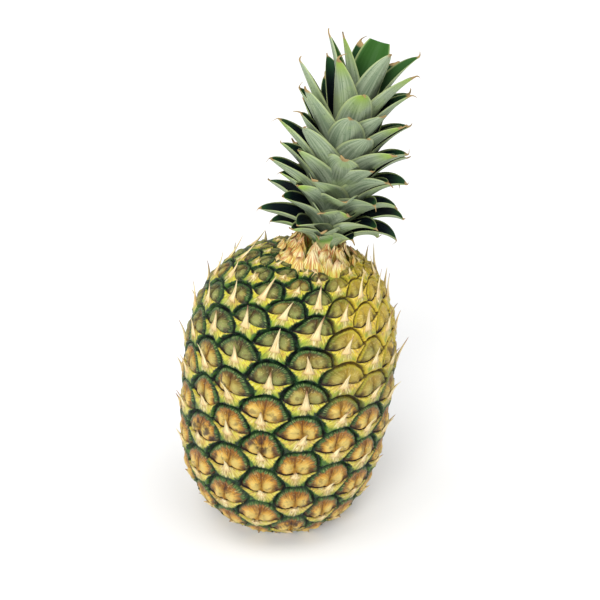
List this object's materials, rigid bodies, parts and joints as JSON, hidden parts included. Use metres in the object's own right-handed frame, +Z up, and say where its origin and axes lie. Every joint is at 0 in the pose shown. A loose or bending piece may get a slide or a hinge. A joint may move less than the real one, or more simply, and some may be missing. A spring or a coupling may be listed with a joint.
{
  "type": "pineapple",
  "caption": "Ripe pineapple standing on its own base: a barrel-shaped fruit with a spiral of spiny eyes, a dry bract collar and an upright leafy crown",
  "frame": {"origin": "the point where the fruit's own axis meets the flat foot that the fruit stands on", "axes": "+Z up from the surface it stands on, +X the way the fruit and its crown lean, -Y the side shown in the picture"},
  "size_m": [0.1431, 0.1383, 0.3022],
  "materials": {
    "fruit_skin": "waxy, golden green with ochre eyes",
    "dry_bract": "dry, papery, cream to reddish brown",
    "crown_leaf": "waxy, grey-green outside and dark green inside"
  },
  "bodies": {
    "root": {"fruit": "fruit_skin", "neck_bracts": "dry_bract", "crown": "crown_leaf"}
  },
  "joints": []
}
